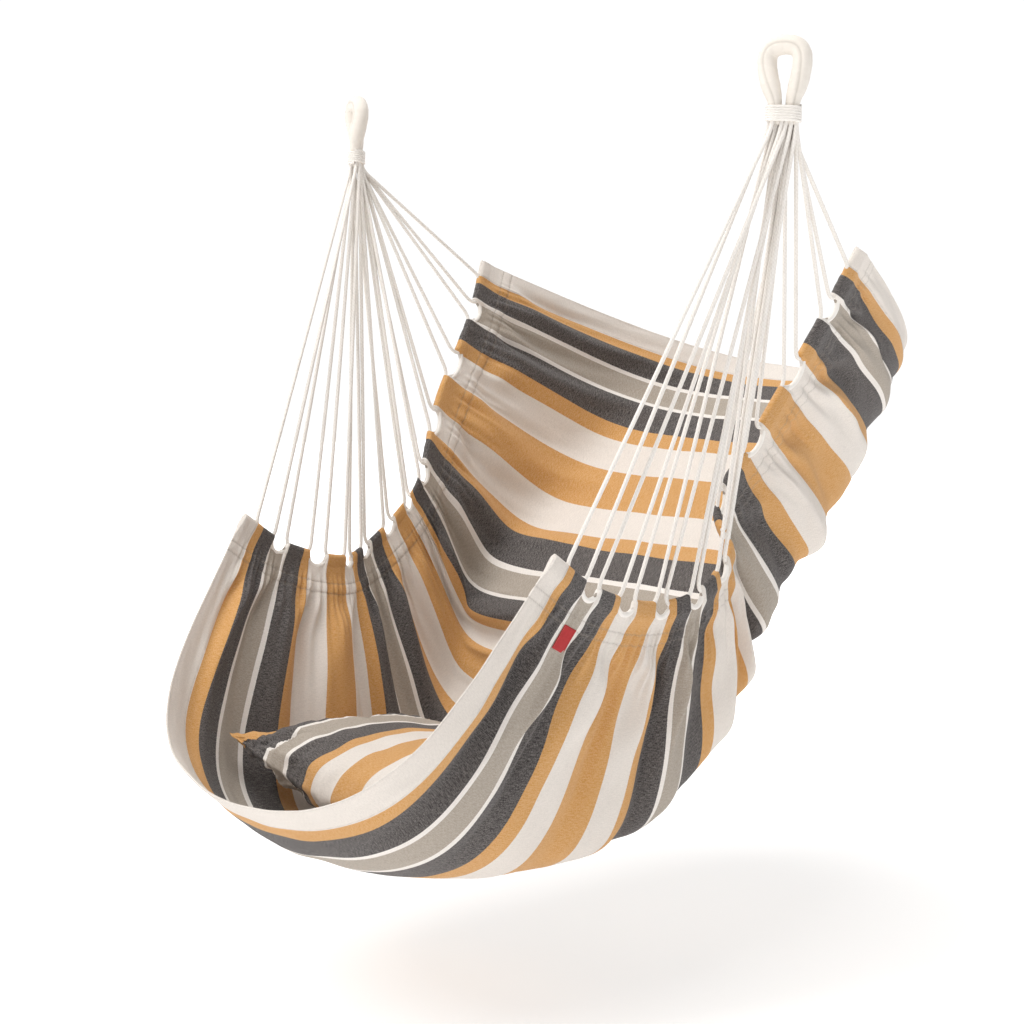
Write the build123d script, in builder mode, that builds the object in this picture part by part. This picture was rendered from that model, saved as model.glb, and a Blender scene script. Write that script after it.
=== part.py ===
"""Hammock chair: a striped cloth bowl hung by two fans of cords from two rope eyes.

Millimetres, +Z up, +X to the sitter's left, -Y towards the front rim. The origin is the middle of
the hanging line, halfway between the bearing points of the two eyes.
"""

import math
import os

from build123d import *

os.makedirs("parts", exist_ok=True)

# Hanging line and eyes
HOOK_SPACING = 1000
EYE_TURN = 45  # each eye faces outwards and forwards by this angle
SLEEVE_R = 11.5
EYE_ROPE_R = 9
EYE_HALF_WIDTH = 27.5
EYE_LEG_SPREAD = 11.7
EYE_TOP_BEND = 25
EYE_LEG_BEND = 60
LEG_BEND_RISE = 6  # the legs start to spread this far above the whipping
NECK_Z = -112  # the cords bend about the X axis at this height
NECK_BALL_R = 16
WHIPPING_TURNS = 6
WHIPPING_THREAD = 4.4
WHIPPING_LOW_Z = -101
WHIPPING_SWELL = 0.9  # thickness of the whipping in threads
WHIPPING_GROOVE = 0.2  # depth of the grooves between its turns, in threads

# Cords
CORD_D = 6.5
EDGE_ROPE_D = 8
NECK_RADIUS = 25  # distance from the neck's axis to the first section of each cord
FAN_FRONT = 28  # degrees from straight down, towards the front
FAN_BACK = -60
BUNDLE_ROWS = 4
BUNDLE_ORDER = [1, 0, 3, 2]  # which row each next cord of the fan starts in
BUNDLE_ROW_PITCH = 7.2
CORD_BEND = 10
STRAIGHTENING = 0.45  # share of a run that the arc at each of its ends may take up

# Cloth: nine stations from the front rim to the back rim
CLOTH_THICKNESS = 2.5
CLOTH_SECTIONS = 17
EDGE_HALF_WIDTH = [380, 380, 375, 400, 395, 355, 390, 415, 440]
EDGE_Y = [-330, -240, -125, -45, 30, 50, 120, 215, 270]
EDGE_Z = [-725, -780, -810, -795, -735, -665, -530, -380, -270]
FLOOR_Y = [-590, -435, -180, 15, 135, 175, 380, 570, 730]
FLOOR_Z = [-1090, -1200, -1240, -1175, -1000, -855, -705, -550, -455]
WALL_HALF_WIDTH = [305, 230, 155, 175, 225, 265, 280, 270, 240]
WALL_DROP = [0.9, 1.1, 1.3, 1.5, 1.65, 1.8, 1.6, 1.4, 1.2]
FLOOR_HALF_WIDTH = [425, 490, 560, 640, 720, 785, 590, 365, 135]

# Casing along each side edge: tabs with notches between them, in cloth units from the front rim
CLOTH_UNITS = 836
TAB_COUNT = 11
FIRST_TAB = 53
TAB_PITCH = 73
TAB_HALF = 20
CASING_OUTSIDE = [(2.5, -8), (6.5, 0), (6.5, 17.5), (3, 23)]  # half section: out from the middle, height
CASING_INSIDE = [(4.75, 3.5), (4.75, 17), (2.6, 21)]
CASING_OVERRUN = 3  # cloth units by which each hollow passes its casing's ends
ROPE_LIFT = 8
CORD_LIFT = 15.6
CASING_INSET = 9  # cloth units by which each casing stops short of its tab's ends
NOTCH_R = 19
NOTCH_LIFT = 4
NOTCH_REACH = 12
ROPE_DIP = -3
DIP_START = 0.3

# Label on the right-hand panel, on the first taupe stripe
LABEL_UNIT = 89.5
LABEL_WIDTH = 46
LABEL_HEIGHT = 38
LABEL_THICKNESS = 1.2
LABEL_PLACE = 0.934  # fraction of the way across the cloth
LABEL_STAND_OFF = 1
LABEL_SEAM_INSET = 3
THREAD_D = 1.2

# Cushion lying in the bowl
CUSHION_HALF_WIDTH = 270
CUSHION_COVER = 2
CUSHION_STATIONS = [(-415, 0.3), (-375, 0.75), (-280, 1), (-130, 1), (-35, 0.75), (0, 0.3)]
CUSHION_MID_Z = [-1134, -1128, -1130, -1134, -1132, -1128]
CUSHION_HALF_THICKNESS = 72
CUSHION_END_RISE = 88


def along(values, u):
    """Smooth curve through evenly spaced stations, at fraction u of the way."""
    last = len(values) - 1
    place = min(max(u, 0), 1) * last
    i = min(int(place), last - 1)
    f = place - i
    p1, p2 = values[i], values[i + 1]
    p0 = values[i - 1] if i > 0 else 2 * p1 - p2
    p3 = values[i + 2] if i + 2 <= last else 2 * p2 - p1
    m1, m2 = (p2 - p0) / 2, (p3 - p1) / 2
    rise = 3 * f**2 - 2 * f**3
    return p1 * (1 - rise) + p2 * rise + m1 * (f - 2 * f**2 + f**3) + m2 * (f**3 - f**2)


def chord_middle(u):
    return Vector(0, along(EDGE_Y, u), along(EDGE_Z, u))


def floor_middle(u):
    return Vector(0, along(FLOOR_Y, u), along(FLOOR_Z, u))


def depth(u):
    return (floor_middle(u) - chord_middle(u)).length


def down(u):
    """Unit vector in the section at u, from the edges towards the floor."""
    return (floor_middle(u) - chord_middle(u)).normalized()


def edge_point(u, side, lift=0):
    middle = chord_middle(u) - down(u) * lift
    return middle + Vector(side * along(EDGE_HALF_WIDTH, u), 0, 0)


def section_plane(u):
    across = Vector(1, 0, 0)
    return Plane(origin=chord_middle(u), x_dir=across, z_dir=across.cross(down(u)))


def section_poles(u, inset=0):
    """Poles of the U-shaped Bezier curve of one section, as (x, depth) in its plane."""
    deep = depth(u)
    wall = along(WALL_DROP, u) * deep
    floor = (32 * deep - 10 * wall) / 20
    left = [
        (-along(EDGE_HALF_WIDTH, u) + inset, 0),
        (-along(WALL_HALF_WIDTH, u) + inset, wall - inset),
        (-along(FLOOR_HALF_WIDTH, u) + inset, floor - inset),
    ]
    right = [(-x, y) for x, y in reversed(left)]
    return left + right


def tab_ends(tab):
    middle = FIRST_TAB + TAB_PITCH * tab
    return (middle - TAB_HALF) / CLOTH_UNITS, (middle + TAB_HALF) / CLOTH_UNITS


def save(built, name):
    built.part.label = name
    export_step(built.part, f"parts/{name}.step")


def make_notch_cutters():
    """Round-bottomed bars across the whole cloth, one through each pair of notches."""
    with BuildPart() as bars:
        for tab in range(TAB_COUNT - 1):
            notch_u = (tab_ends(tab)[1] + tab_ends(tab + 1)[0]) / 2
            middle = edge_point(notch_u, 0, NOTCH_LIFT + NOTCH_REACH / 2)
            with BuildSketch(Plane(origin=middle, x_dir=down(notch_u), z_dir=(1, 0, 0))):
                SlotCenterToCenter(NOTCH_REACH, 2 * NOTCH_R)
            extrude(amount=HOOK_SPACING / 2, both=True)
    return bars


def lofted_casings(outline, overrun):
    """One solid per tab of both side edges, lofted along the edge from the outline given."""
    over = overrun / CLOTH_UNITS
    with BuildPart() as casings:
        for side in (1, -1):
            for tab in range(TAB_COUNT):
                start_u, end_u = tab_ends(tab)
                with BuildPart(mode=Mode.PRIVATE) as casing:
                    for u in (start_u - over, (start_u + end_u) / 2, end_u + over):
                        middle = along(EDGE_HALF_WIDTH, u) - CLOTH_THICKNESS / 2
                        corners = [(side * (middle + x), -lift) for x, lift in outline]
                        with BuildSketch(section_plane(u)):
                            with BuildLine():
                                Polyline(*corners, close=True)
                            make_face()
                    loft(ruled=True)
                add(casing.part)
    return casings


def both_halves(half_outline):
    return half_outline + [(-x, lift) for x, lift in reversed(half_outline)]


def make_casings():
    """The folded-over edges: hollow tabs which hold the cords and the edge ropes."""
    with BuildPart() as casings:
        add(lofted_casings(both_halves(CASING_OUTSIDE), -CASING_INSET).part)
        hollow = lofted_casings(both_halves(CASING_INSIDE), CASING_OVERRUN - CASING_INSET)
        add(hollow.part, mode=Mode.SUBTRACT)
    return casings


def make_cloth():
    """The cloth, one sheet with its side edges folded over and sewn into hollow tabs."""
    with BuildPart() as cloth:
        for section in range(CLOTH_SECTIONS):
            u = section / (CLOTH_SECTIONS - 1)
            with BuildSketch(section_plane(u)):
                with BuildLine():
                    outer = Bezier(*section_poles(u))
                    inner = Bezier(*section_poles(u, CLOTH_THICKNESS))
                    Line(outer @ 0, inner @ 0)
                    Line(outer @ 1, inner @ 1)
                make_face()
        loft()
        add(make_notch_cutters().part, mode=Mode.SUBTRACT)
        add(make_casings().part)
    save(cloth, "striped_cloth")


def make_tube(points, bends, diameter, name):
    """A cord: straight runs joined by tangent arcs, with a round section."""
    with BuildPart() as tube:
        with BuildLine():
            route = FilletPolyline(*points, radius=bends)
        with BuildSketch(Plane(origin=route @ 0, z_dir=route % 0)):
            Circle(diameter / 2)
        sweep(path=route)
    share = tube.part.volume / (math.pi * diameter**2 / 4 * route.length)
    print(f"{name}: length {route.length:.0f}, smallest bend {min(bends):.1f}, volume share {share:.4f}")
    save(tube, name)


def even_bends(points):
    """The widest arcs that still leave a little of every run straight."""
    bends = []
    for before, corner, after in zip(points, points[1:], points[2:]):
        turn = math.radians((corner - before).get_angle(after - corner))
        shorter = min((corner - before).length, (after - corner).length)
        bends.append(STRAIGHTENING * shorter / math.tan(turn / 2))
    return bends


def make_suspension_cords(side, side_name):
    """Eleven cords: each runs down from the neck, through one tab and up again."""
    neck = Vector(side * HOOK_SPACING / 2, 0, NECK_Z)
    line_count = 2 * TAB_COUNT
    for tab in range(TAB_COUNT):
        start_u, end_u = tab_ends(tab)
        held = [start_u, (start_u + end_u) / 2, end_u]
        inner = [edge_point(u, side, CORD_LIFT) for u in held]
        tops = []
        for line in (2 * tab, 2 * tab + 1):
            angle = math.radians(FAN_FRONT + (FAN_BACK - FAN_FRONT) * line / (line_count - 1))
            row = (BUNDLE_ORDER[line % BUNDLE_ROWS] - (BUNDLE_ROWS - 1) / 2) * BUNDLE_ROW_PITCH
            reach = Vector(side * row, -NECK_RADIUS * math.sin(angle), -NECK_RADIUS * math.cos(angle))
            tops.append(neck + reach)
        points = [tops[0]] + inner + [tops[1]]
        bends = even_bends(points)
        bends[0] = min(bends[0], CORD_BEND)
        bends[-1] = min(bends[-1], CORD_BEND)
        make_tube(points, bends, CORD_D, f"{side_name}_cord_{tab + 1:02d}")


def make_edge_rope(side, side_name):
    """The thick rope that runs through all the tabs of one edge and dips across each notch."""
    points = []
    for tab in range(TAB_COUNT):
        start_u, end_u = tab_ends(tab)
        for u in (start_u, (start_u + end_u) / 2, end_u):
            points.append(edge_point(u, side, ROPE_LIFT))
        if tab < TAB_COUNT - 1:
            gap = tab_ends(tab + 1)[0] - end_u
            points.append(edge_point(end_u + gap * DIP_START, side, ROPE_DIP))
            points.append(edge_point(end_u + gap * (1 - DIP_START), side, ROPE_DIP))
    make_tube(points, even_bends(points), EDGE_ROPE_D, f"{side_name}_edge_rope")


def eye_plane(side):
    turn = math.radians(EYE_TURN)
    across = Vector(math.cos(turn), side * math.sin(turn), 0)
    facing = Vector(side * math.sin(turn), -math.cos(turn), 0)
    return Plane(origin=(side * HOOK_SPACING / 2, 0, 0), x_dir=across, z_dir=facing)


def eye_route(low_z):
    """Teardrop loop: up one leg, over the top and down the other leg."""
    top_z = SLEEVE_R
    spread_z = WHIPPING_LOW_Z + WHIPPING_TURNS * WHIPPING_THREAD + LEG_BEND_RISE
    return [
        (-EYE_LEG_SPREAD, low_z),
        (-EYE_LEG_SPREAD, spread_z),
        (-EYE_HALF_WIDTH, top_z),
        (EYE_HALF_WIDTH, top_z),
        (EYE_LEG_SPREAD, spread_z),
        (EYE_LEG_SPREAD, low_z),
    ]


def sweep_eye(side, low_z, outer_r, inner_r=0):
    bends = [EYE_LEG_BEND, EYE_TOP_BEND, EYE_TOP_BEND, EYE_LEG_BEND]
    with BuildPart() as loop:
        with BuildLine(eye_plane(side)):
            route = FilletPolyline(*eye_route(low_z), radius=bends)
        with BuildSketch(Plane(origin=route @ 0, z_dir=route % 0)):
            Circle(outer_r)
            if inner_r:
                Circle(inner_r, mode=Mode.SUBTRACT)
        sweep(path=route)
    return loop


def make_eye(side, side_name):
    """One hanging eye: the cords' loop, its padded sleeve and the whipping round the neck."""
    neck = Vector(side * HOOK_SPACING / 2, 0, NECK_Z)
    sleeve = sweep_eye(side, WHIPPING_LOW_Z, SLEEVE_R, EYE_ROPE_R)
    save(sleeve, f"{side_name}_eye_sleeve")

    loop = sweep_eye(side, WHIPPING_LOW_Z, EYE_ROPE_R)
    with BuildPart() as eye_rope:
        with Locations(neck):
            Sphere(NECK_BALL_R)
        split(bisect_by=Plane(origin=(0, 0, WHIPPING_LOW_Z), z_dir=(0, 0, 1)), keep=Keep.BOTTOM)
        add(loop.part)
    save(eye_rope, f"{side_name}_eye_rope")

    groove_r = SLEEVE_R + WHIPPING_THREAD * (WHIPPING_SWELL - WHIPPING_GROOVE)
    with BuildPart() as whipping:
        for turn in range(WHIPPING_TURNS):
            low = WHIPPING_LOW_Z + turn * WHIPPING_THREAD
            base = Plane(origin=(neck.X, 0, low), x_dir=eye_plane(side).x_dir, z_dir=(0, 0, 1))
            with BuildSketch(base):
                SlotCenterToCenter(2 * EYE_LEG_SPREAD, 2 * (SLEEVE_R + WHIPPING_THREAD * WHIPPING_SWELL))
                SlotCenterToCenter(2 * EYE_LEG_SPREAD, 2 * SLEEVE_R, mode=Mode.SUBTRACT)
            extrude(amount=WHIPPING_THREAD * (1 - WHIPPING_GROOVE))
            with BuildSketch(base.offset(WHIPPING_THREAD * (1 - WHIPPING_GROOVE))):
                SlotCenterToCenter(2 * EYE_LEG_SPREAD, 2 * groove_r)
                SlotCenterToCenter(2 * EYE_LEG_SPREAD, 2 * SLEEVE_R, mode=Mode.SUBTRACT)
            extrude(amount=WHIPPING_THREAD * WHIPPING_GROOVE)
    save(whipping, f"{side_name}_whipping")


def label_plane():
    """Plane on the outside of the right-hand panel, z pointing away from the cloth."""
    u = LABEL_UNIT / CLOTH_UNITS
    plane = section_plane(u)
    with BuildLine(plane) as section:
        Bezier(*section_poles(u))
    place = section.line @ LABEL_PLACE
    tangent = section.line % LABEL_PLACE
    outward = tangent.cross(plane.z_dir)
    if outward.X < 0:
        outward = -outward
    return Plane(origin=place + outward * LABEL_STAND_OFF, x_dir=tangent, z_dir=outward)


def make_label():
    plane = label_plane()
    with BuildPart() as label:
        with BuildSketch(plane):
            Rectangle(LABEL_HEIGHT, LABEL_WIDTH)
        extrude(amount=LABEL_THICKNESS)
    save(label, "woven_label")

    seam = LABEL_WIDTH / 2 - LABEL_SEAM_INSET
    with BuildPart() as thread:
        with BuildSketch(plane.offset(LABEL_THICKNESS)):
            with Locations((0, seam), (0, -seam)):
                Rectangle(LABEL_HEIGHT - LABEL_SEAM_INSET, THREAD_D)
        extrude(amount=THREAD_D / 2)
    save(thread, "label_thread")


def cushion_outline(fullness, inset):
    """Closed section of the cushion at one depth: both ends curl up the walls of the bowl."""
    half = CUSHION_HALF_WIDTH - inset
    thick = CUSHION_HALF_THICKNESS * fullness - inset
    rise = CUSHION_END_RISE
    shoulder = (half * 0.6, rise * 0.3 + thick)
    belly = (half * 0.75, rise * 0.3 - thick * 0.8)
    top = [(-half, rise), (-shoulder[0], shoulder[1]), (0, thick), shoulder, (half, rise)]
    bottom = [(half, rise), belly, (0, -thick), (-belly[0], belly[1]), (-half, rise)]
    return top, bottom


def pillow(inset):
    with BuildPart() as body:
        last = len(CUSHION_STATIONS) - 1
        for index, ((y, fullness), z) in enumerate(zip(CUSHION_STATIONS, CUSHION_MID_Z)):
            y += inset if index == 0 else -inset if index == last else 0
            with BuildSketch(Plane(origin=(0, y, z), x_dir=(1, 0, 0), z_dir=(0, -1, 0))):
                top, bottom = cushion_outline(fullness, inset)
                with BuildLine():
                    Spline(*top)
                    Spline(*bottom)
                make_face()
        loft()
    return body


def make_cushion():
    filling = pillow(CUSHION_COVER)
    with BuildPart() as cover:
        add(pillow(0).part)
        add(filling.part, mode=Mode.SUBTRACT)
    save(cover, "cushion_cover")
    save(filling, "cushion_filling")


make_cloth()
for side, side_name in ((1, "right"), (-1, "left")):
    make_suspension_cords(side, side_name)
    make_edge_rope(side, side_name)
    make_eye(side, side_name)
make_label()
make_cushion()
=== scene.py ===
"""Looks of the hammock chair: striped cloth, cords, padded eyes, label and seat cushion."""

import math

import bpy
import numpy as np
from mathutils import Matrix, Vector


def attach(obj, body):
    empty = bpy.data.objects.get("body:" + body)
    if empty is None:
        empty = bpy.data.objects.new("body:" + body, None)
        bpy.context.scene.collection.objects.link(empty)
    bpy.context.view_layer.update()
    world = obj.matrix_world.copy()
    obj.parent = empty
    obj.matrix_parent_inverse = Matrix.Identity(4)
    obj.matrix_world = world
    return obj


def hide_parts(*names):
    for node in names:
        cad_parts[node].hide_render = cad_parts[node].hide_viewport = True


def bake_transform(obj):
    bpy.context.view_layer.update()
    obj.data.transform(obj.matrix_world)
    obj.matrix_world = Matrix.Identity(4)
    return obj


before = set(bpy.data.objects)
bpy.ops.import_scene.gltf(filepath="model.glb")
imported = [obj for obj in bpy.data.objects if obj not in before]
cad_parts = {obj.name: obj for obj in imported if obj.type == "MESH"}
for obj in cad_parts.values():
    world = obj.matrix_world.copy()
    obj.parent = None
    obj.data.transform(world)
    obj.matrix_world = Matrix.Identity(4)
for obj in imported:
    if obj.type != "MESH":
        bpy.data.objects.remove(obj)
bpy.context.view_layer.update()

MM = 0.001

# Shape of the cloth at nine stations from the front rim to the back rim, in millimetres
EDGE_HALF_WIDTH = [380, 380, 375, 400, 395, 355, 390, 415, 440]
EDGE_Y = [-330, -240, -125, -45, 30, 50, 120, 215, 270]
EDGE_Z = [-725, -780, -810, -795, -735, -665, -530, -380, -270]
FLOOR_Y = [-590, -435, -180, 15, 135, 175, 380, 570, 730]
FLOOR_Z = [-1090, -1200, -1240, -1175, -1000, -855, -705, -550, -455]
WALL_HALF_WIDTH = [305, 230, 155, 175, 225, 265, 280, 270, 240]
WALL_DROP = [0.9, 1.1, 1.3, 1.5, 1.65, 1.8, 1.6, 1.4, 1.2]
FLOOR_HALF_WIDTH = [425, 490, 560, 640, 720, 785, 590, 365, 135]

# Cloth units run from the front rim to the back rim
UNITS = 836
MM_PER_UNIT = 2.09
TAB_COUNT = 11
FIRST_TAB = 53
TAB_PITCH = 73
TAB_HALF = 20
HEM = 30
TAB_TOP = 22.0
NOTCH_BOTTOM = -4.0
SEAM_1 = 31.0
SEAM_2 = 49.0

# Half the cloth's thickness round the cords in a tab, at a notch's edge and at a rolled hem
TAB_ROUND = 6.4
NOTCH_ROUND = 2.6
HEM_ROUND = 2.3
HEM_LEAST = 1.3

# Label: its middle (in units along the cloth, and in millimetres from its right edge) and half size
LABEL_W = 89.5
LABEL_Q = 66
LABEL_HALF_W = 11
LABEL_HALF_Q = 19
LABEL_PROUD = 1.6

# Seat cushion, in metres
CUSHION_HALF = (0.272, 0.208)
CUSHION_MIDDLE_Y = -0.2075
CUSHION_STATIONS = [-0.21, -0.17, -0.07, 0.08, 0.17, 0.21]
CUSHION_MIDDLE_Z = [-1.134, -1.128, -1.130, -1.134, -1.132, -1.128]
CUSHION_CROWN = 0.072
CUSHION_SWELL = 0.014
SWELL_FRAMES = 20

# Studio
FLOOR_LEVEL = -1.43
STAGE = 14.0
FLOOR_GLOW = (("From Min", 1.5), ("From Max", 3.2), ("To Min", 0.45), ("To Max", 1.0))
SWEEP_GLOW = (("From Min", 0.1), ("From Max", 0.85), ("To Min", 0.44), ("To Max", 1.05))
SWEEP_BEHIND = (-0.73, 0.684, 0.0)
LIGHT_AIM = (0, 0, -0.8)
LIGHT_COLOUR = (1.0, 0.985, 0.965)
LIGHTS = (("key", (-0.9, -4.2, 3.4), 2.0, 150), ("top", (0.3, -0.7, 4.0), 2.6, 115))
CAMERA_PLACE = (2.319, -2.129, -0.425)
CAMERA_LENS = 67.9
CAMERA_TURN = 138.23
CAMERA_TILT = -4.85
CAMERA_ROLL = 0.86

# Cords
NECK = (0.5, 0.0, -0.112)
CORD_D = 0.0065
EDGE_ROPE_D = 0.008
CORD_LIFT = 15.6
ROPE_LIFT = 8.0
ROPE_DIP = -3.0
DIP_START = 0.3
FAN_FRONT = 28
FAN_BACK = -60
BUNDLE_ORDER = [1, 0, 3, 2]
ROW_PITCH = 0.0072
NEAR_BEND = 6 * CORD_D
CORNER_REACH = 3 / UNITS
DOUBLE_BACK_COSINE = 0.2
DOUBLE_BACK_HALF = 0.0095

# Eyes: half of the loop's route (millimetres across and up), its twist and turn, and the whipping
EYE_HALF = [(-10.2, -104), (-10.2, -76), (-23, -38), (-28, -8), (-16, 8)]
EYE_TWIST = math.radians(24)
EYE_TURN = math.radians(45)
WHIPPING_TURNS = 6
WHIPPING_THREAD = 0.0044
WHIPPING_FLOOR = -0.101


def along(values, u):
    """Smooth curve through evenly spaced stations, for an array of fractions."""
    v = np.asarray(values, float)
    last = len(v) - 1
    place = np.clip(u, 0, 1) * last
    i = np.minimum(place.astype(int), last - 1)
    f = place - i
    padded = np.concatenate([[2 * v[0] - v[1]], v, [2 * v[-1] - v[-2]]])
    p0, p1, p2, p3 = padded[i], padded[i + 1], padded[i + 2], padded[i + 3]
    m1, m2 = (p2 - p0) / 2, (p3 - p1) / 2
    rise = 3 * f**2 - 2 * f**3
    return p1 * (1 - rise) + p2 * rise + m1 * (f - 2 * f**2 + f**3) + m2 * (f**3 - f**2)


def section(u):
    """Chord middle, unit vector down (both in YZ) and depth of the cloth's section at each u."""
    chord = np.stack([along(EDGE_Y, u), along(EDGE_Z, u)], -1)
    floor = np.stack([along(FLOOR_Y, u), along(FLOOR_Z, u)], -1)
    depth = np.linalg.norm(floor - chord, axis=-1)
    return chord, (floor - chord) / depth[..., None], depth


BEZIER_T = np.linspace(0, 1, 401)
BEZIER_BASIS = np.stack(
    [math.comb(5, i) * BEZIER_T**i * (1 - BEZIER_T) ** (5 - i) for i in range(6)]
)


def section_curves(u):
    """Across and depth of each section's curve, and the length along it, in millimetres."""
    _, _, depth = section(u)
    edge, wall_half, floor_half = (
        along(v, u) for v in (EDGE_HALF_WIDTH, WALL_HALF_WIDTH, FLOOR_HALF_WIDTH)
    )
    wall = along(WALL_DROP, u) * depth
    floor = (32 * depth - 10 * wall) / 20
    xs = np.stack([-edge, -wall_half, -floor_half, floor_half, wall_half, edge], -1) @ BEZIER_BASIS
    zero = np.zeros_like(edge)
    ys = np.stack([zero, wall, floor, floor, wall, zero], -1) @ BEZIER_BASIS
    steps = np.hypot(np.diff(xs, axis=-1), np.diff(ys, axis=-1))
    lengths = np.concatenate([np.zeros((len(u), 1)), np.cumsum(steps, -1)], -1)
    return xs, ys, lengths


def plain_surface(u, a):
    """Points of the smooth cloth: a is the way across from the left edge; it may pass both edges."""
    chord, down, _ = section(u)
    xs, ys, lengths = section_curves(u)
    x = np.array([np.interp(r, l, v) for r, l, v in zip(a, lengths, xs)])
    y = np.array([np.interp(r, l, v) for r, l, v in zip(a, lengths, ys)])
    whole = lengths[:, -1:]
    y = y + np.minimum(a, 0) - np.maximum(a - whole, 0)
    points = np.stack(
        [
            x,
            chord[:, None, 0] + down[:, None, 0] * y,
            chord[:, None, 1] + down[:, None, 1] * y,
        ],
        -1,
    )
    return points, whole


def normals(points):
    along_w = np.gradient(points, axis=0)
    along_a = np.gradient(points, axis=1)
    n = np.cross(along_a, along_w)
    return n / np.maximum(np.linalg.norm(n, axis=-1, keepdims=True), 1e-9)


def ease(x, low, high):
    t = np.clip((x - low) / (high - low), 0, 1)
    return t * t * (3 - 2 * t)


def hump(x, start, peak, end):
    return ease(x, start, peak) * (1 - ease(x, peak, end))


def wobble(x, seed, period):
    """A smooth random wave of about unit height."""
    random = np.random.default_rng(seed)
    total = np.zeros_like(np.asarray(x, float))
    for share in (1.0, 0.618, 0.437):
        phase = random.uniform(0, 2 * math.pi)
        total = total + np.sin(2 * math.pi * np.asarray(x) / (period * share) + phase) * share
    return total / 1.6


def folds(w, a, whole):
    """Height of the gathers, pleats and soft waves of the cloth, in millimetres."""
    w2 = w[:, None] + np.zeros_like(a)
    q = np.minimum(a, whole - a)
    side = np.where(a < whole / 2, 1, 2)
    height = np.zeros_like(a)
    ends = ease(w2, 4, 46) * (1 - ease(w2, UNITS - 46, UNITS - 4))
    for s in (1, 2):
        drift = 9 * wobble(w, 10 + s, 160)[:, None] + 7 * wobble(q, 20 + s, 420)
        main = np.cos(2 * math.pi * (w2 - FIRST_TAB + drift * ease(q, 40, 260)) / TAB_PITCH)
        main = 1.35 * np.exp(-((1 - main) / 0.9) ** 0.9) - 0.6 + 0.25 * main
        half = np.cos(2 * math.pi * (w2 + 1.6 * drift) / 37 + s)
        fine = np.cos(2 * math.pi * (w2 + 3 * wobble(w, 30 + s, 47)[:, None]) / 10.5)
        strength = 0.75 + 0.45 * wobble(w, 40 + s, 110)[:, None]
        here = (
            20.0 * strength * main * hump(q, 30, 120, 580)
            + 9.0 * (0.6 + 0.6 * wobble(w, 50 + s, 66)[:, None]) * half * hump(q, 28, 85, 360)
            + 2.9 * (0.7 + 0.5 * wobble(w, 60 + s, 31)[:, None]) * fine * hump(q, 8, 42, 170)
        )
        height = np.where(side == s, here * ends, height)
    height += 2.2 * wobble(w2 + 0.25 * a, 71, 95) * wobble(a, 72, 520) * ease(q, 60, 250)
    height += 0.8 * wobble(w2 - 0.1 * a, 73, 27) * wobble(a + w2, 74, 300)
    # The stiff label holds the cloth flat under it
    near_label = np.exp(-(((w2 - LABEL_W) / 19) ** 4) - ((whole - a - LABEL_Q) / 42) ** 4)
    return height * (1 - 0.92 * near_label)


def cloth_middle(w, a):
    """Middle surface of the cloth with its folds, in millimetres, and its normals."""
    plain, whole = plain_surface(w / UNITS, a)
    n = normals(plain)
    points = plain + n * folds(w, a, whole)[..., None]
    return points, n, whole


def tab_state(w):
    """How far each w is inside a notch (0 on a tab, 1 in a notch) and the height of the edge."""
    top = np.full_like(w, TAB_TOP)
    inside = np.zeros_like(w)
    gap_half = TAB_PITCH / 2 - TAB_HALF
    for k in range(TAB_COUNT - 1):
        middle = FIRST_TAB + TAB_PITCH * (k + 0.5)
        x = (w - middle) / gap_half
        here = np.abs(x) < 1
        shape = NOTCH_BOTTOM + (TAB_TOP - NOTCH_BOTTOM) * np.abs(x) ** 1.9
        top = np.where(here, shape, top)
        inside = np.where(here, ease(1 - np.abs(x), 0, 0.22), inside)
    return inside, top


def shade_smooth(mesh):
    mesh.polygons.foreach_set("use_smooth", [True] * len(mesh.polygons))


def mesh_object(name, vertices, faces, attributes=None):
    mesh = bpy.data.meshes.new(name)
    mesh.from_pydata(np.asarray(vertices).reshape(-1, 3).tolist(), [], faces)
    mesh.update()
    shade_smooth(mesh)
    for key, values in (attributes or {}).items():
        layer = mesh.attributes.new(key, "FLOAT", "POINT")
        layer.data.foreach_set("value", np.asarray(values, np.float32).ravel())
    made = bpy.data.objects.new(name, mesh)
    bpy.context.scene.collection.objects.link(made)
    return made


def grid_faces(rows, columns, offset=0, flip=False, wrap=False):
    last = columns if wrap else columns - 1
    i, j = np.meshgrid(np.arange(rows - 1), np.arange(last), indexing="ij")
    k = (j + 1) % columns
    row, after = i * columns, (i + 1) * columns
    quad = np.stack([row + j, row + k, after + k, after + j], -1).reshape(-1, 4) + offset
    return (quad[:, ::-1] if flip else quad).tolist()


def two_sided(name, middle, n, half, attributes):
    """A closed sheet: a grid's two faces, half its thickness from the middle, joined at the rim."""
    rows, columns = middle.shape[:2]
    up = middle + n * half[..., None]
    low = middle - n * half[..., None]
    count = rows * columns
    faces = grid_faces(rows, columns) + grid_faces(rows, columns, count, flip=True)
    index = np.arange(count).reshape(rows, columns)
    rim = np.concatenate([index[0, :], index[1:, -1], index[-1, -2::-1], index[-2:0:-1, 0]])
    after = np.roll(rim, -1)
    faces += np.stack([after, rim, rim + count, after + count], -1).tolist()
    doubled = {key: np.concatenate([v.ravel(), v.ravel()]) for key, v in attributes.items()}
    vertices = np.concatenate([up.reshape(-1, 3), low.reshape(-1, 3)]) * MM
    return mesh_object(name, vertices, faces, doubled)


def linear(r, g, b):
    channels = []
    for c in (r, g, b):
        c = c / 255
        channels.append(c / 12.92 if c <= 0.04045 else ((c + 0.055) / 1.055) ** 2.4)
    return (*channels, 1.0)


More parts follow.
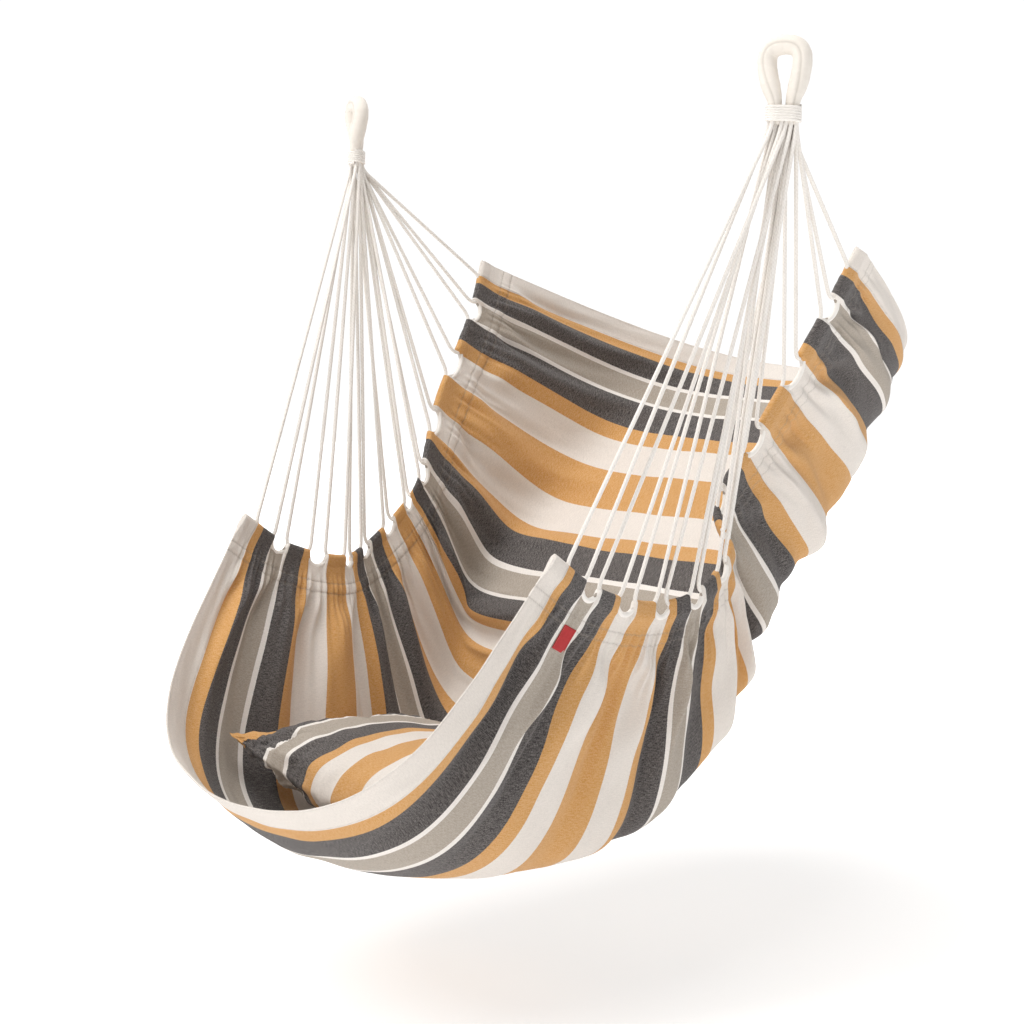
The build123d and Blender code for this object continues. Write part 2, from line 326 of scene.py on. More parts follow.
CREAM = linear(233, 225, 217)
GOLD = linear(210, 153, 78)
CHARCOAL = linear(57, 52, 53)
WHITE = linear(244, 238, 232)
TAUPE = linear(170, 159, 146)
PATTERN = [
    (14, GOLD),
    (28, CHARCOAL),
    (5, WHITE),
    (25, TAUPE),
    (5, WHITE),
    (28, CHARCOAL),
    (14, GOLD),
    (30, CREAM),
    (40, GOLD),
    (30, CREAM),
]
REPEAT = sum(width for width, _ in PATTERN)


class Nodes:
    """Short helpers for building one material's node tree."""

    def __init__(self, name):
        self.material = bpy.data.materials.new(name)
        self.material.use_nodes = True
        self.tree = self.material.node_tree
        self.tree.nodes.clear()
        self.shader = self.tree.nodes.new("ShaderNodeBsdfPrincipled")
        out = self.tree.nodes.new("ShaderNodeOutputMaterial")
        self.link(self.shader.outputs["BSDF"], out.inputs["Surface"])

    def link(self, a, b):
        self.tree.links.new(a, b)

    def put(self, socket, value):
        if isinstance(value, bpy.types.NodeSocket):
            self.link(value, socket)
        else:
            socket.default_value = value

    def math(self, operation, a, b=0.0, clamp=False):
        node = self.tree.nodes.new("ShaderNodeMath")
        node.operation = operation
        node.use_clamp = clamp
        self.put(node.inputs[0], a)
        self.put(node.inputs[1], b)
        return node.outputs[0]

    def attribute(self, name):
        node = self.tree.nodes.new("ShaderNodeAttribute")
        node.attribute_type = "GEOMETRY"
        node.attribute_name = name
        return node.outputs["Fac"]

    def combine(self, x, y, z=0.0):
        node = self.tree.nodes.new("ShaderNodeCombineXYZ")
        for socket, value in zip(node.inputs, (x, y, z)):
            self.put(socket, value)
        return node.outputs[0]

    def noise(self, vector, scale, detail=2.0, roughness=0.5):
        node = self.tree.nodes.new("ShaderNodeTexNoise")
        self.put(node.inputs["Vector"], vector)
        node.inputs["Scale"].default_value = scale
        node.inputs["Detail"].default_value = detail
        node.inputs["Roughness"].default_value = roughness
        return node.outputs["Fac"]

    def position(self):
        return self.tree.nodes.new("ShaderNodeTexCoord").outputs["Object"]

    def ramp(self, value, stops, constant=False):
        node = self.tree.nodes.new("ShaderNodeValToRGB")
        node.color_ramp.interpolation = "CONSTANT" if constant else "LINEAR"
        elements = node.color_ramp.elements
        elements[0].position, elements[0].color = stops[0]
        elements[1].position, elements[1].color = stops[1]
        for place, colour in stops[2:]:
            elements.new(place).color = colour
        self.put(node.inputs[0], value)
        return node.outputs["Color"]

    def mix(self, fac, a, b, blend="MIX"):
        node = self.tree.nodes.new("ShaderNodeMix")
        node.data_type = "RGBA"
        node.blend_type = blend
        self.put(node.inputs["Factor"], fac)
        self.put(node.inputs[6], a)
        self.put(node.inputs[7], b)
        return node.outputs[2]

    def bump(self, height, strength, distance):
        node = self.tree.nodes.new("ShaderNodeBump")
        node.inputs["Strength"].default_value = strength
        node.inputs["Distance"].default_value = distance
        self.put(node.inputs["Height"], height)
        return node.outputs[0]

    def finish(self, colour, roughness, sheen, normal=None):
        inputs = self.shader.inputs
        self.put(inputs["Base Color"], colour)
        self.put(inputs["Roughness"], roughness)
        inputs["Sheen Weight"].default_value = sheen
        inputs["Sheen Roughness"].default_value = 0.6
        inputs["Specular IOR Level"].default_value = 0.2
        if normal is not None:
            self.link(normal, inputs["Normal"])
        return self.material


def striped_material(name, hems):
    """Woven striped cotton. The attributes cloth_w and cloth_a give the place on the flat cloth."""
    n = Nodes(name)
    w, a = n.attribute("cloth_w"), n.attribute("cloth_a")
    # Slightly ragged stripe borders
    drift = n.noise(n.combine(n.math("MULTIPLY", w, 0.3), n.math("MULTIPLY", a, 0.9)), 1.0, 3.0)
    ragged = n.math("MULTIPLY", n.math("SUBTRACT", drift, 0.5), 0.9)
    place = n.math("ADD", w, ragged)
    turn = n.math("FRACT", n.math("DIVIDE", n.math("ADD", place, REPEAT - HEM), REPEAT))
    stops, at = [], 0
    for width, colour in PATTERN:
        stops.append((at / REPEAT, colour))
        at += width
    colour = n.ramp(turn, stops, constant=True)
    if hems:
        middle = n.math("ABSOLUTE", n.math("SUBTRACT", place, UNITS / 2))
        colour = n.mix(n.math("GREATER_THAN", middle, UNITS / 2 - HEM), colour, CREAM)
    # Threads: fine light and dark specks that run along the stripes, strongest on the dark yarn
    specks = n.noise(n.combine(n.math("MULTIPLY", w, 1.9), n.math("MULTIPLY", a, 0.28)), 1.0, 3.0, 0.7)
    weft = n.noise(n.combine(n.math("MULTIPLY", w, 0.22), n.math("MULTIPLY", a, 0.8)), 1.0, 2.0, 0.6)
    heather = n.math("ADD", n.math("MULTIPLY", specks, 0.6), n.math("MULTIPLY", weft, 0.4))
    light = n.ramp(heather, [(0.36, (0.80, 0.80, 0.80, 1)), (0.60, (1.0, 1.0, 1.0, 1))])
    colour = n.mix(0.8, colour, light, "MULTIPLY")
    raised = n.math("MULTIPLY", n.math("SUBTRACT", heather, 0.42, clamp=True), 1.1)
    colour = n.mix(raised, colour, CREAM)
    # Soft variation over the whole cloth, and painted shade along the sunken seam lines
    broad = n.noise(n.position(), 7.0, 3.0)
    shade = n.ramp(broad, [(0.3, (0.86, 0.85, 0.84, 1)), (0.62, (1, 1, 1, 1))])
    colour = n.mix(0.35, colour, shade, "MULTIPLY")
    # Painted shade: the sunken, stitched seam lines are darkened towards a dark brown-grey
    colour = n.mix(n.math("MULTIPLY", n.attribute("seam_and_shade"), 0.55), colour, (0.30, 0.26, 0.22, 1))
    weave = n.math(
        "MULTIPLY",
        n.math("SINE", n.math("MULTIPLY", w, 2 * math.pi / 0.62)),
        n.math("SINE", n.math("MULTIPLY", a, 2 * math.pi / 1.3)),
    )
    creases = n.combine(n.math("MULTIPLY", w, 0.16), n.math("MULTIPLY", a, 0.022))
    crinkle = n.noise(creases, 1.0, 4.0, 0.6)
    height = n.math("ADD", n.math("MULTIPLY", weave, 0.10), n.math("MULTIPLY", crinkle, 1.4))
    height = n.math("ADD", height, n.math("MULTIPLY", heather, 0.35))
    return n.finish(colour, 0.88, 0.12, n.bump(height, 0.55, 0.0016))


def darker(colour, share):
    return tuple(c * share for c in colour[:3]) + (1,)


def cord_material(name, colour, dirt):
    n = Nodes(name)
    fibre = n.noise(n.position(), 900.0, 2.0)
    broad = n.noise(n.position(), 30.0, 2.0)
    both = n.math("ADD", n.math("MULTIPLY", fibre, 0.5), n.math("MULTIPLY", broad, 0.5))
    tint = n.ramp(both, [(0.3, darker(colour, dirt)), (0.62, colour)])
    # Painted shade: darker grey in the grooves between twisted strands and along the sleeve's sunken
    # seam
    groove = n.math("MULTIPLY", n.attribute("groove"), 0.42)
    tint = n.mix(groove, tint, linear(168, 160, 150))
    return n.finish(tint, 0.85, 0.15, n.bump(fibre, 0.25, 0.0004))


def plain_material(name, colour, roughness, scale=60.0):
    n = Nodes(name)
    broad = n.noise(n.position(), scale, 3.0)
    tint = n.ramp(broad, [(0.3, darker(colour, 0.86)), (0.65, colour)])
    return n.finish(tint, roughness, 0.12, n.bump(n.noise(n.position(), 1400.0, 2.0), 0.2, 0.0003))


def smooth_route(points, step=0.003):
    """Evenly spaced points of the smooth spline that a route's points steer."""
    data = bpy.data.curves.new("route", "CURVE")
    data.dimensions = "3D"
    spline = data.splines.new("NURBS")
    spline.points.add(len(points) - 1)
    for place, point in zip(spline.points, points):
        place.co = (*point, 1)
    spline.order_u = 3
    spline.use_endpoint_u = True
    spline.resolution_u = 64
    holder = bpy.data.objects.new("route", data)
    line = bpy.data.meshes.new_from_object(holder)
    path = np.array([v.co for v in line.vertices])
    bpy.data.objects.remove(holder)
    bpy.data.meshes.remove(line)
    bpy.data.curves.remove(data)
    far = np.concatenate([[0], np.cumsum(np.linalg.norm(np.diff(path, axis=0), axis=1))])
    keep = np.concatenate([[True], np.diff(far) > 1e-7])
    path, far = path[keep], far[keep]
    even = np.linspace(0, far[-1], max(8, int(far[-1] / step)))
    return np.stack([np.interp(even, far, path[:, i]) for i in range(3)], -1)


def tube(name, path, radius, around=12, strands=0, pitch=0.02, groove=0.16, closed=False):
    """A tube along a path, as twisted strands when strands is given."""
    tangents = np.gradient(path, axis=0)
    tangents /= np.linalg.norm(tangents, axis=1, keepdims=True)
    side = np.cross(tangents[0], [0.31, 0.52, 0.79])
    side /= np.linalg.norm(side)
    frames = []
    for t in tangents:
        side = side - t * (side @ t)
        side = side / np.linalg.norm(side)
        frames.append(side)
    sides = np.array(frames)
    ups = np.cross(tangents, sides)
    far = np.concatenate([[0], np.cumsum(np.linalg.norm(np.diff(path, axis=0), axis=1))])
    angle = np.linspace(0, 2 * math.pi, around, endpoint=False)[None, :]
    low = np.zeros((len(path), around))
    size = np.full((len(path), around), radius)
    if strands:
        wave = np.abs(np.cos(strands / 2 * (angle - 2 * math.pi * far[:, None] / pitch)))
        low = 1 - np.sqrt(wave)
        size = radius * (1 - groove * low)
    ring = sides[:, None, :] * np.cos(angle)[..., None] + ups[:, None, :] * np.sin(angle)[..., None]
    vertices = path[:, None, :] + ring * size[..., None]
    faces = grid_faces(len(path), around, flip=True, wrap=True)
    count = len(path) * around
    vertices = np.concatenate([vertices.reshape(-1, 3), path[:1], path[-1:]])
    for j in range(around):
        k = (j + 1) % around
        faces.append([count, j, k])
        faces.append([count + 1, count - around + k, count - around + j])
    # Depth between the strands, which the cord material paints as shade
    groove_shade = np.concatenate([low.ravel(), [0, 0]])
    return mesh_object(name, vertices, faces, {"groove": groove_shade})


def tab_ends(tab):
    middle = FIRST_TAB + TAB_PITCH * tab
    return (middle - TAB_HALF) / UNITS, (middle + TAB_HALF) / UNITS


def edge_point(u, side, lift):
    """A point above the cloth's edge, in metres."""
    chord, down, _ = section(np.array([u]))
    y, z = chord[0] - down[0] * lift
    return np.array([side * float(along(EDGE_HALF_WIDTH, np.array([u]))[0]), y, z]) * MM


def rounded(far, radius):
    """Half thickness of a round rim at a distance from its edge."""
    return radius * np.sqrt(np.clip(1 - ((radius - np.minimum(far, radius)) / radius) ** 2, 0, 1))


def make_cloth(material):
    parts = [np.linspace(0, 3, 7)[:-1], np.arange(3, FIRST_TAB - TAB_HALF, 1.5)]
    for tab in range(TAB_COUNT):
        low = FIRST_TAB + TAB_PITCH * tab - TAB_HALF
        parts.append(np.linspace(low, low + 2 * TAB_HALF, 27)[:-1])
        if tab < TAB_COUNT - 1:
            parts.append(np.linspace(low + 2 * TAB_HALF, low + TAB_PITCH, 45)[:-1])
    last = FIRST_TAB + TAB_PITCH * (TAB_COUNT - 1) + TAB_HALF
    parts += [np.arange(last, UNITS - 3, 1.5), np.linspace(UNITS - 3, UNITS, 7)]
    w = np.concatenate(parts)
    inside, top = tab_state(w)
    near = [0, 0.35, 1.3, 2.8, 4.8, 7, 10, 13, 16, 19, 22, 26, 30, 34, 38, 42, 45, 48, 50, 51.5, 53]
    near = np.array(near) / near[-1]
    below = np.array([32.3, 34, 37, 41, 45, 47.5, 49, 50.5, 53, 57, 62, 67, 73, 80])
    rim = -top[:, None] + (SEAM_1 + top[:, None]) * near[None, :]
    below2 = below[None, :] + np.zeros((len(w), 1))
    _, _, lengths = section_curves(w / UNITS)
    whole = lengths[:, -1:]
    across = np.linspace(0, 1, 150)[1:-1][None, :]
    inner = below[-1] + (whole - 2 * below[-1]) * across
    right_rim = (whole - rim)[:, ::-1]
    right_below = (whole - below2)[:, ::-1]
    a = np.concatenate([rim, below2, inner, right_below, right_rim], -1)
    middle, n, whole = cloth_middle(w, a)
    q = np.minimum(a, whole - a)
    from_top = q + top[:, None]
    # Half thickness: round and full where a tab holds the cords, two layers down to the seams
    layers = np.where(q < SEAM_2, 1.5, 0.75) + 0.5 * np.exp(-((q - 40) / 6.0) ** 2)
    down_tab = layers + (TAB_ROUND - layers) * (1 - ease(from_top, 15, 46))
    full = np.where(from_top < 15, rounded(from_top, TAB_ROUND), down_tab)
    down_notch = layers + (NOTCH_ROUND - layers) * (1 - ease(from_top, 3, 16))
    thin = np.where(from_top < 3, rounded(from_top, NOTCH_ROUND), down_notch)
    share = inside[:, None]
    half = full * (1 - share) + thin * share
    # Both hems: thicker, and rolled at the very end
    hem_end = np.minimum(w, UNITS - w)[:, None]
    half = np.where(hem_end < HEM, np.maximum(half, HEM_LEAST), half)
    reach = hem_end * MM_PER_UNIT
    roll = HEM_ROUND * np.sqrt(np.clip(1 - ((reach - HEM_ROUND) / HEM_ROUND) ** 2, 0.002, 1))
    rolled = np.where(reach < HEM_ROUND, np.minimum(half, roll), np.maximum(half, roll))
    half = np.where(reach < 2 * HEM_ROUND, rolled, half)
    # Seam lines: the cloth is thinner and sunken along them, and the same mask, in stitch dashes,
    # paints shade there
    seam_and_shade = np.exp(-((q - SEAM_1) / 1.3) ** 2) + np.exp(-((q - SEAM_2) / 1.3) ** 2)
    seam_and_shade += 0.9 * np.exp(-((hem_end - HEM + 1.2) / 0.55) ** 2)
    dash = 0.65 + 0.35 * np.cos(2 * math.pi * (w[:, None] + q / MM_PER_UNIT) / 2.4)
    half = half * (1 - 0.35 * np.clip(seam_and_shade, 0, 1))
    middle = middle - n * (0.5 * np.clip(seam_and_shade, 0, 1))[..., None]
    zero = np.zeros_like(a)
    attributes = {
        "cloth_w": w[:, None] + zero,
        "cloth_a": a,
        "seam_and_shade": np.clip(seam_and_shade, 0, 1) * dash,
    }
    cloth = two_sided("hammock_cloth", middle, n, half, attributes)
    cloth.data.materials.append(material)
    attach(cloth, "seat")
    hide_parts("striped_cloth")
    return cloth


def eye_axes(side):
    """The directions across an eye's opening and through it."""
    across = np.array([math.cos(EYE_TURN), side * math.sin(EYE_TURN), 0])
    facing = np.array([side * math.sin(EYE_TURN), -math.cos(EYE_TURN), 0])
    return across, facing


def bundle_place(side, row, angle):
    """Where a line leaves the whipping: in its long opening, on the side it heads for."""
    across, facing = (v[:2] for v in eye_axes(side))
    wish = np.array([side * row * 1.6, -0.034 * math.sin(angle)])
    p = np.clip(wish @ across, -0.019, 0.019)
    f = np.clip(wish @ facing, -0.0075, 0.0075)
    flat = across * p + facing * f
    return np.array([flat[0], flat[1], 0.0])


def beside(point, towards):
    """The point of a long taut run that is nearest the bend at its end."""
    run = towards - point
    return point + run * (NEAR_BEND / np.linalg.norm(run))


def unit(v):
    return v / np.linalg.norm(v)


def tab_turn(corner, tab_middle, neck_end):
    """The route's points at a tab's end: one, or two side by side where the cord doubles back."""
    run, tab = unit(neck_end - corner), unit(tab_middle - corner)
    if run @ tab < DOUBLE_BACK_COSINE:
        return [corner]
    aside = unit(run - tab) * DOUBLE_BACK_HALF
    return [corner - aside, corner + aside]


def make_cords(material):
    for side, name in ((1, "right"), (-1, "left")):
        neck = np.array([side * NECK[0], NECK[1], NECK[2]])
        for tab in range(TAB_COUNT):
            start_u, end_u = tab_ends(tab)
            held = [start_u - CORNER_REACH, (start_u + end_u) / 2, end_u + CORNER_REACH]
            inner = [edge_point(u, side, CORD_LIFT) for u in held]
            tops = []
            for line in (2 * tab, 2 * tab + 1):
                share = line / (2 * TAB_COUNT - 1)
                angle = math.radians(FAN_FRONT + (FAN_BACK - FAN_FRONT) * share)
                row = (BUNDLE_ORDER[line % 4] - 1.5) * ROW_PITCH
                place = neck + bundle_place(side, row, angle)
                tops.append([place + np.array([0, 0, 0.020]), place + np.array([0, 0, 0.006])])
            first = tab_turn(inner[0], inner[1], tops[0][1])[::-1]
            last = tab_turn(inner[2], inner[1], tops[1][1])
            down = [beside(tops[0][1], first[0]), beside(first[0], tops[0][1])]
            back = [beside(last[-1], tops[1][1]), beside(tops[1][1], last[-1])]
            route = tops[0] + down + first + [inner[1]] + last + back + tops[1][::-1]
            path = smooth_route(route)
            cord_name = f"{name}_line_{tab + 1:02d}"
            cord = tube(cord_name, path, CORD_D / 2, around=12, strands=3, pitch=0.021)
            cord.data.materials.append(material)
            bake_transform(cord)
            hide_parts(f"{name}_cord_{tab + 1:02d}")


def make_edge_ropes(material):
    for side, name in ((1, "right"), (-1, "left")):
        points = []
        for tab in range(TAB_COUNT):
            start_u, end_u = tab_ends(tab)
            for u in (start_u, (start_u + end_u) / 2, end_u):
                points.append(edge_point(u, side, ROPE_LIFT))
            if tab < TAB_COUNT - 1:
                gap = tab_ends(tab + 1)[0] - end_u
                points.append(edge_point(end_u + gap * DIP_START, side, ROPE_DIP))
                points.append(edge_point(end_u + gap * (1 - DIP_START), side, ROPE_DIP))
        path = smooth_route(points)
        rope = tube(f"{name}_edge_line", path, EDGE_ROPE_D / 2, around=14)
        rope.data.materials.append(material)
        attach(rope, "seat")
        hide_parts(f"{name}_edge_rope")


def make_eyes(sleeve_material, thread_material):
    for side, name in ((1, "right"), (-1, "left")):
        across, facing = eye_axes(side)
        origin = np.array([side * NECK[0], 0, 0])
        up = np.array([0, 0, 1])
        route = EYE_HALF + [(-x, z) for x, z in EYE_HALF[::-1]]
        route = [origin + across * x * MM + up * z * MM for x, z in route]
        path = smooth_route(route, step=0.0015)
        sleeve = padded_sleeve(f"{name}_sleeve", path, origin, facing)
        sleeve.data.materials.append(sleeve_material)
        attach(sleeve, "eyes")
        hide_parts(f"{name}_eye_sleeve", f"{name}_eye_rope")

        # The whipping: a thread wound in a long round loop about both legs of the eye
        thread = WHIPPING_THREAD
        t = np.linspace(0, 1, 72 * WHIPPING_TURNS)
        angle = 2 * math.pi * WHIPPING_TURNS * t
        reach = 0.0112 + thread * 0.42
        flat = np.cos(angle)[:, None] * reach * across + np.sin(angle)[:, None] * reach * facing
        flat = flat + (np.tanh(4 * np.cos(angle)) * 0.0107)[:, None] * across
        low = WHIPPING_FLOOR + thread * 0.5
        height = low + (WHIPPING_TURNS - 1) * thread * t
        path = origin + flat + height[:, None] * up
        wound = tube(
            f"{name}_wound_cord", path, thread * 0.52, around=12, strands=3, pitch=0.014, groove=0.12
        )
        wound.data.materials.append(thread_material)
        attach(wound, "eyes")
        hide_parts(f"{name}_whipping")


def padded_sleeve(name, path, origin, facing):
    """A fabric tube with one sewn seam and soft creases, turned a little above the whipping."""
    around = 40
    height = path[:, 2] / MM
    radius = (9.8 + 4.2 * ease(height, -80, -44))[:, None] * MM
    twist = -EYE_TWIST * facing[0] / abs(facing[0]) * ease(height, -82, -10)
    flat = path - origin
    path = origin + np.stack([
        flat[:, 0] * np.cos(twist) - flat[:, 1] * np.sin(twist),
        flat[:, 0] * np.sin(twist) + flat[:, 1] * np.cos(twist),
        flat[:, 2],
    ], -1)
    tangents = np.gradient(path, axis=0)
    tangents /= np.linalg.norm(tangents, axis=1, keepdims=True)
    ups = np.stack([
        facing[0] * np.cos(twist) - facing[1] * np.sin(twist),
        facing[0] * np.sin(twist) + facing[1] * np.cos(twist),
        np.zeros(len(path)),
    ], -1)
    ups -= tangents * np.sum(ups * tangents, axis=1, keepdims=True)
    ups /= np.linalg.norm(ups, axis=1, keepdims=True)
    sides = np.cross(tangents, ups)
    far = np.concatenate([[0], np.cumsum(np.linalg.norm(np.diff(path, axis=0), axis=1))])
    angle = np.linspace(0, 2 * math.pi, around, endpoint=False)[None, :]
    off = np.abs((angle - math.pi / 2 - 0.15 + math.pi) % (2 * math.pi) - math.pi)
    seam_and_shade = np.exp(-((off / 0.13) ** 2))
    size = radius * (1 - 0.11 * seam_and_shade)
    size = size + 0.00022 * wobble(far[:, None] * 1000 + 3 * np.cos(angle), 5, 17) * (1 - seam_and_shade)
    creases = np.cos(2 * math.pi * far[:, None] / 0.006 + 2 * np.sin(angle))
    size = size + 0.00018 * creases * np.exp(-((off - 0.3) / 0.25) ** 2)
    ring = sides[:, None, :] * np.cos(angle)[..., None] + ups[:, None, :] * np.sin(angle)[..., None]
    vertices = (path[:, None, :] + ring * size[..., None]).reshape(-1, 3)
    count = len(path) * around
    vertices = np.concatenate([vertices, path[:1], path[-1:]])
    faces = grid_faces(len(path), around, flip=True, wrap=True)
    for j in range(around):
        k = (j + 1) % around
        faces.append([count, j, k])
        faces.append([count + 1, count - around + k, count - around + j])
    # The seam's mask, which the cord material paints as shade along the sunken seam
    groove_shade = np.concatenate([(seam_and_shade + np.zeros_like(size)).ravel(), [0, 0]])
    return mesh_object(name, vertices, faces, {"groove": groove_shade})


def make_label(material, thread_material):
    """The red label: a thin patch sewn on the outside of the right-hand panel."""
    rows, columns = 23, 19
    w = np.linspace(LABEL_W - LABEL_HALF_W, LABEL_W + LABEL_HALF_W, rows)
    _, _, lengths = section_curves(w / UNITS)
    q = np.linspace(LABEL_Q - LABEL_HALF_Q, LABEL_Q + LABEL_HALF_Q, columns)
    a = lengths[:, -1:] - q[None, :]
    middle, n, _ = cloth_middle(w, a)
    mean = unit(n.mean((0, 1)))
    out = np.broadcast_to(mean if mean[0] > 0 else -mean, middle.shape)
    # A smooth patch (a quadratic fitted to the cloth) just proud of the highest fold under it
    i, j = np.meshgrid(np.linspace(-1, 1, rows), np.linspace(-1, 1, columns), indexing="ij")
    terms = np.stack([np.ones_like(i), i, j, i * i, j * j, i * j], -1).reshape(-1, 6)
    fit, *_ = np.linalg.lstsq(terms, middle.reshape(-1, 3), rcond=None)
    smooth = (terms @ fit).reshape(middle.shape)
    proud = ((middle - smooth) * out).sum(-1).max()
    lifted = smooth + out * (proud + LABEL_PROUD)
    half = np.full(a.shape, 0.45)
    label = two_sided("red_label", lifted, out, half, {})
    label.data.materials.append(material)
    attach(label, "seat")
    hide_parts("woven_label")
    for number, row in enumerate((1, -2)):
        path = (lifted[row] + out[row] * 0.7)[1:-1] * MM
        path = smooth_route(path, step=0.0006)
        stitch = tube(f"label_seam_{number}", path, 0.0005, around=8, strands=2, pitch=0.003)
        stitch.data.materials.append(thread_material)
        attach(stitch, "seat")
        if number == 0:
            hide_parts("label_thread")


def cushion_shape():
    """A crowned pillow that curls up the bowl's walls: points, faces and flat coordinates."""
    half_width, half_depth = CUSHION_HALF
    rows, columns = 97, 129
    steps = [np.sin(np.linspace(-1, 1, count) * math.pi / 2) for count in (rows, columns)]
    b, a = np.meshgrid(*steps, indexing="ij")
    ear = np.abs(a) ** 10 * np.abs(b) ** 10
    x = a * half_width * (1 - 0.07 * (1 - b**2) + 0.02 * ear)
    y = b * half_depth * (1 - 0.07 * (1 - a**2) + 0.02 * ear)
    crown = (np.clip(1 - np.abs(a) ** 2.1, 0, 1) * np.clip(1 - np.abs(b) ** 2.0, 0, 1)) ** 0.62
    thick = crown * CUSHION_CROWN
    middle = np.interp(y, CUSHION_STATIONS, CUSHION_MIDDLE_Z)
    middle = middle + (0.092 - 0.030 * ease(b, -0.2, 1)) * np.abs(x / half_width) ** 2.1
    flat = np.stack([x, y + CUSHION_MIDDLE_Y], -1)
    upper = np.concatenate([flat, (middle + thick)[..., None]], -1)
    lower = np.concatenate([flat, (middle - thick)[..., None]], -1)
    index = np.arange(rows * columns).reshape(rows, columns)
    rim = (np.abs(a) > 0.99999) | (np.abs(b) > 0.99999)
    inner = np.cumsum(~rim.ravel()).reshape(rows, columns) - 1 + rows * columns
    second = np.where(rim, index, inner)
    vertices = np.concatenate([upper.reshape(-1, 3), lower[~rim]])
    quads = np.stack([second[:-1, :-1], second[1:, :-1], second[1:, 1:], second[:-1, 1:]], -1)
    faces = grid_faces(rows, columns) + quads.reshape(-1, 4).tolist()
    a_all = np.concatenate([a.ravel(), a[~rim]])
    b_all = np.concatenate([b.ravel(), b[~rim]])
    return vertices, faces, a_all, b_all


def swell(obj, limit):
    """Inflates the piece with a short cloth simulation, and keeps every point within a limit."""
    scene = bpy.context.scene
    start = np.array([v.co for v in obj.data.vertices])
    modifier = obj.modifiers.new("swell", "CLOTH")
    settings = modifier.settings
    settings.use_pressure = True
    settings.uniform_pressure_force = 4.0
    settings.effector_weights.gravity = 0.0
    settings.quality = 5
    settings.tension_stiffness = 12
    settings.compression_stiffness = 12
    settings.bending_stiffness = 0.08
    settings.shrink_min = -0.05
    modifier.point_cache.frame_start, modifier.point_cache.frame_end = 1, SWELL_FRAMES
    for frame_number in range(1, SWELL_FRAMES + 1):
        scene.frame_set(frame_number)
    after = obj.evaluated_get(bpy.context.evaluated_depsgraph_get()).to_mesh()
    moved = np.array([v.co for v in after.vertices]) - start
    obj.modifiers.remove(modifier)
    scene.frame_set(1)
    far = np.linalg.norm(moved, axis=1, keepdims=True)
    moved *= np.minimum(1, limit / np.maximum(far, 1e-9))
    return start + moved


def make_cushion(material):
    vertices, faces, a, b = cushion_shape()
    attributes = {"cloth_w": (a + 1) * 169 + HEM, "cloth_a": (b + 1) * 210, "seam_and_shade": np.zeros(len(a))}
    cushion = mesh_object("seat_cushion", vertices, faces, attributes)
    vertices = swell(cushion, CUSHION_SWELL)
    # Gathers along the sewn rim, and soft dents in the filling
    cushion.data.vertices.foreach_set("co", np.asarray(vertices, np.float32).ravel())
    cushion.data.update()
    out = np.array([v.normal for v in cushion.data.vertices])
    ends, sides = 1 - np.abs(a), 1 - np.abs(b)
    along_side = wobble(a * 270, 93, 31) * (0.6 + 0.5 * wobble(a * 270, 95, 140))
    along_end = wobble(b * 208, 94, 33) * (0.6 + 0.5 * wobble(b * 208, 96, 120))
    gathers = along_side * hump(sides, -0.05, 0.10, 0.42) + along_end * hump(ends, -0.05, 0.08, 0.34)
    dents = wobble(a * 100 + b * 40, 91, 60) * wobble(b * 100 - a * 20, 92, 75)
    dents = dents * np.minimum(ends, sides) ** 0.5
    vertices = vertices + out * (0.0046 * gathers + 0.0045 * dents)[:, None]
    cushion.data.vertices.foreach_set("co", np.asarray(vertices, np.float32).ravel())
    cushion.data.update()
    cushion.data.materials.append(material)
    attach(cushion, "cushion")
    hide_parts("cushion_cover", "cushion_filling")
    return cushion


def make_stage():
    mesh = bpy.data.meshes.new("studio_floor")
    corners = [(-STAGE, -STAGE), (STAGE, -STAGE), (STAGE, STAGE), (-STAGE, STAGE)]
    mesh.from_pydata([(x, y, FLOOR_LEVEL) for x, y in corners], [], [(0, 1, 2, 3)])
    floor = bpy.data.objects.new("studio_floor", mesh)
    bpy.context.scene.collection.objects.link(floor)
    n = Nodes("studio_floor")
    n.shader.inputs["Emission Color"].default_value = (1, 1, 1, 1)
    where = n.tree.nodes.new("ShaderNodeVectorMath")
    where.operation = "LENGTH"
    n.link(n.position(), where.inputs[0])
    glow = n.tree.nodes.new("ShaderNodeMapRange")
    glow.interpolation_type = "SMOOTHSTEP"
    for name, value in FLOOR_GLOW:
        glow.inputs[name].default_value = value
    n.link(where.outputs["Value"], glow.inputs["Value"])
    n.link(glow.outputs["Result"], n.shader.inputs["Emission Strength"])
    mesh.materials.append(n.finish((0.75, 0.75, 0.75, 1), 1.0, 0.0))


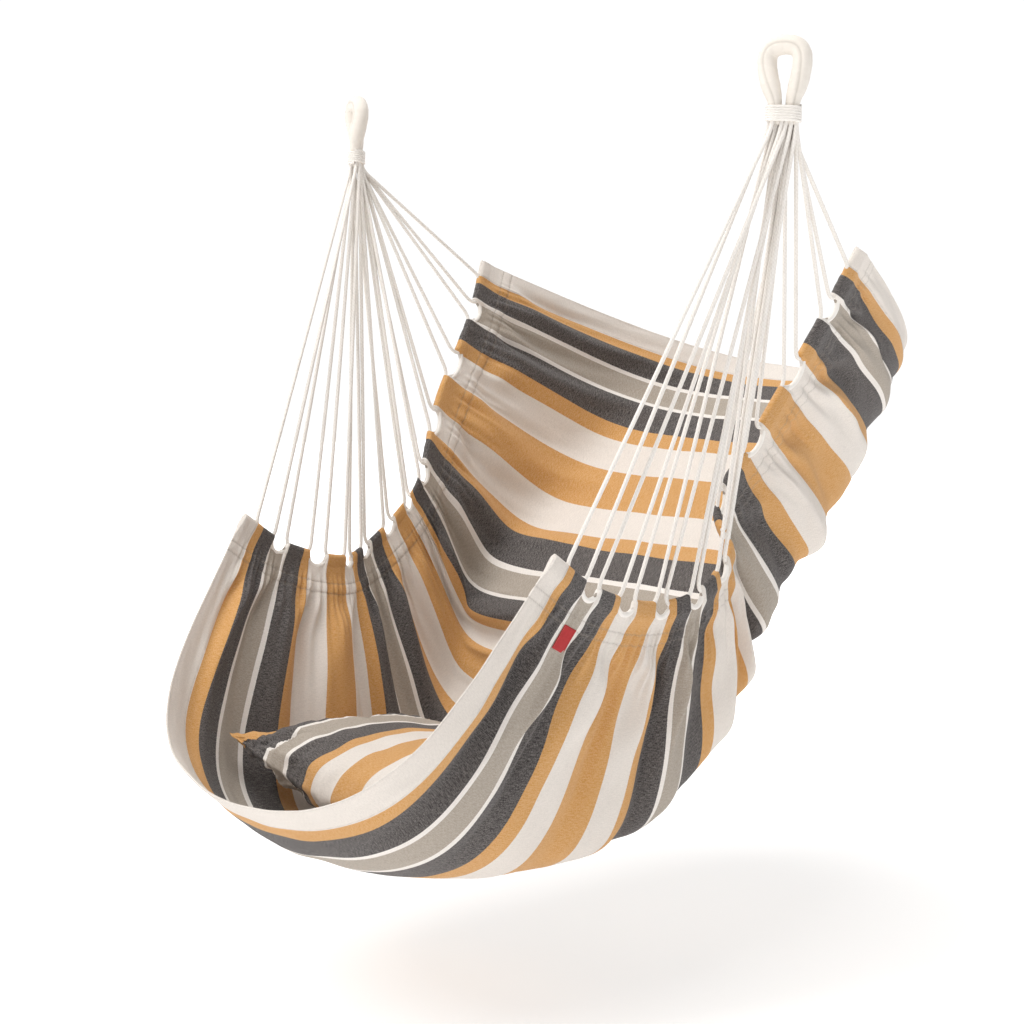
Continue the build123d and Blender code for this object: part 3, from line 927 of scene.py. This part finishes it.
def make_light():
    """A white sweep behind the chair, dimmer in front of it, and two softboxes."""
    world = bpy.data.worlds.new("studio")
    bpy.context.scene.world = world
    world.use_nodes = True
    tree = world.node_tree
    background = tree.nodes["Background"]
    where = tree.nodes.new("ShaderNodeTexCoord")
    dot = tree.nodes.new("ShaderNodeVectorMath")
    dot.operation = "DOT_PRODUCT"
    dot.inputs[1].default_value = SWEEP_BEHIND
    tree.links.new(where.outputs["Generated"], dot.inputs[0])
    spread = tree.nodes.new("ShaderNodeMapRange")
    spread.interpolation_type = "SMOOTHSTEP"
    for name, value in SWEEP_GLOW:
        spread.inputs[name].default_value = value
    tree.links.new(dot.outputs["Value"], spread.inputs["Value"])
    tree.links.new(spread.outputs["Result"], background.inputs["Strength"])
    background.inputs["Color"].default_value = (1, 1, 1, 1)
    for name, place, size, power in LIGHTS:
        light = bpy.data.lights.new(name, "AREA")
        light.size = size
        light.energy = power
        light.color = LIGHT_COLOUR
        lamp = bpy.data.objects.new(name, light)
        lamp.location = place
        aim = Vector(LIGHT_AIM) - Vector(place)
        lamp.rotation_euler = aim.to_track_quat("-Z", "Y").to_euler()
        bpy.context.scene.collection.objects.link(lamp)
    bpy.context.scene.view_settings.view_transform = "Standard"


def make_camera():
    data = bpy.data.cameras.new("camera")
    data.sensor_width = 36
    data.lens = CAMERA_LENS
    data.clip_end = 60
    camera = bpy.data.objects.new("camera", data)
    turn, tilt, roll = (math.radians(angle) for angle in (CAMERA_TURN, CAMERA_TILT, CAMERA_ROLL))
    camera.matrix_world = (
        Matrix.Translation(CAMERA_PLACE)
        @ Matrix.Rotation(turn - math.pi / 2, 4, "Z")
        @ Matrix.Rotation(tilt + math.pi / 2, 4, "X")
        @ Matrix.Rotation(roll, 4, "Z")
    )
    bpy.context.scene.collection.objects.link(camera)
    bpy.context.scene.camera = camera


cotton = striped_material("striped_cotton", hems=True)
cushion_cotton = striped_material("cushion_cotton", hems=False)
cord_cotton = cord_material("twisted_cord", linear(240, 235, 229), 0.92)
rope_cotton = cord_material("smooth_rope", linear(241, 236, 230), 0.93)
sleeve_cotton = cord_material("sleeve_cotton", linear(229, 222, 213), 0.93)
red = plain_material("label_red", linear(176, 44, 46), 0.75, 200.0)
red_thread = plain_material("label_thread", linear(196, 84, 80), 0.8, 300.0)

make_cloth(cotton)
make_cords(cord_cotton)
make_edge_ropes(rope_cotton)
make_eyes(sleeve_cotton, cord_cotton)
make_label(red, red_thread)
make_cushion(cushion_cotton)
make_stage()
make_light()
make_camera()
